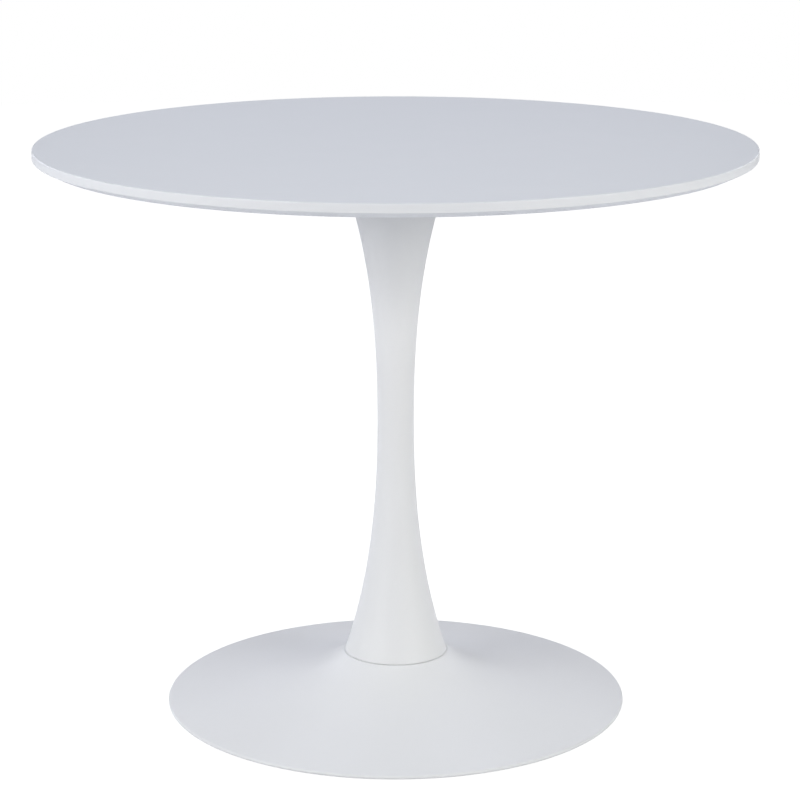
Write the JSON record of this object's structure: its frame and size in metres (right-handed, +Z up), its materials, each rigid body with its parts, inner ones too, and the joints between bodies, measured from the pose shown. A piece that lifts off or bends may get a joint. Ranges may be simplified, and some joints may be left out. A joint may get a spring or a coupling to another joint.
{
  "type": "round pedestal table",
  "caption": "Round table with a bevelled top on a waisted trumpet column and a flared round foot with levelling glides.",
  "frame": {"origin": "on the floor, at the centre of the foot, under the table's axis", "axes": "+Z up along the column's axis; +X to the right and +Y to the back as seen from the front glide's side"},
  "size_m": [0.9, 0.9, 0.73],
  "materials": {
    "top_lacquer": "fibreboard under satin white lacquer, very fine orange peel",
    "white_powder_coat": "matt white powder coat, fine even texture",
    "spider_coat": "cast aluminium under matt white powder coat",
    "painted_iron": "grey cast iron under dark primer, sand-cast grain",
    "zinc_steel": "bright zinc-plated steel",
    "insert_brass": "plain turned brass",
    "glide_nylon": "off-white moulded nylon"
  },
  "bodies": {
    "table": {"tabletop": "top_lacquer", "insert_1": "insert_brass", "insert_2": "insert_brass", "insert_3": "insert_brass", "insert_4": "insert_brass", "insert_5": "insert_brass", "insert_6": "insert_brass", "insert_7": "insert_brass", "insert_8": "insert_brass", "top_screw_1": "zinc_steel", "top_screw_2": "zinc_steel", "top_screw_3": "zinc_steel", "top_screw_4": "zinc_steel", "top_screw_5": "zinc_steel", "top_screw_6": "zinc_steel", "top_screw_7": "zinc_steel", "top_screw_8": "zinc_steel", "top_spider": "spider_coat", "column_shell": "white_powder_coat", "tie_rod": "zinc_steel", "tie_rod_bottom_nut": "zinc_steel", "tie_rod_bottom_washer": "zinc_steel", "tie_rod_top_washer": "zinc_steel", "tie_rod_top_nut": "zinc_steel", "base_cover": "white_powder_coat", "base_casting": "painted_iron"},
    "glide_1_foot": {"glide_1_pad": "glide_nylon"},
    "glide_2_foot": {"glide_2_pad": "glide_nylon"},
    "glide_3_foot": {"glide_3_pad": "glide_nylon"},
    "glide_4_foot": {"glide_4_pad": "glide_nylon"},
    "glide_5_foot": {"glide_5_pad": "glide_nylon"},
    "glide_1_screw": {"glide_1_stud": "zinc_steel"},
    "glide_2_screw": {"glide_2_stud": "zinc_steel"},
    "glide_3_screw": {"glide_3_stud": "zinc_steel"},
    "glide_4_screw": {"glide_4_stud": "zinc_steel"},
    "glide_5_screw": {"glide_5_stud": "zinc_steel"}
  },
  "joints": [
    {"name": "glide_1_travel", "type": "slide", "parent": "table", "child": "glide_1_foot", "axis": [0, 0, -1], "range_m": [0, 0.004]},
    {"name": "glide_1_turn", "type": "hinge", "parent": "glide_1_foot", "child": "glide_1_screw", "pos_m": [0, -0.207, 0.006], "axis": [0, 0, -1], "range_deg": [0, 1152]},
    {"name": "glide_2_travel", "type": "slide", "parent": "table", "child": "glide_2_foot", "axis": [0, 0, -1], "range_m": [0, 0.004]},
    {"name": "glide_2_turn", "type": "hinge", "parent": "glide_2_foot", "child": "glide_2_screw", "pos_m": [0.19687, -0.06397, 0.006], "axis": [0, 0, -1], "range_deg": [0, 1152]},
    {"name": "glide_3_travel", "type": "slide", "parent": "table", "child": "glide_3_foot", "axis": [0, 0, -1], "range_m": [0, 0.004]},
    {"name": "glide_3_turn", "type": "hinge", "parent": "glide_3_foot", "child": "glide_3_screw", "pos_m": [0.12167, 0.16747, 0.006], "axis": [0, 0, -1], "range_deg": [0, 1152]},
    {"name": "glide_4_travel", "type": "slide", "parent": "table", "child": "glide_4_foot", "axis": [0, 0, -1], "range_m": [0, 0.004]},
    {"name": "glide_4_turn", "type": "hinge", "parent": "glide_4_foot", "child": "glide_4_screw", "pos_m": [-0.12167, 0.16747, 0.006], "axis": [0, 0, -1], "range_deg": [0, 1152]},
    {"name": "glide_5_travel", "type": "slide", "parent": "table", "child": "glide_5_foot", "axis": [0, 0, -1], "range_m": [0, 0.004]},
    {"name": "glide_5_turn", "type": "hinge", "parent": "glide_5_foot", "child": "glide_5_screw", "pos_m": [-0.19687, -0.06397, 0.006], "axis": [0, 0, -1], "range_deg": [0, 1152]}
  ],
  "couplings": [
    {"joint": "glide_1_turn", "follows": "glide_1_travel", "rad_per_m": 5026.5},
    {"joint": "glide_2_turn", "follows": "glide_2_travel", "rad_per_m": 5026.5},
    {"joint": "glide_3_turn", "follows": "glide_3_travel", "rad_per_m": 5026.5},
    {"joint": "glide_4_turn", "follows": "glide_4_travel", "rad_per_m": 5026.5},
    {"joint": "glide_5_turn", "follows": "glide_5_travel", "rad_per_m": 5026.5}
  ]
}
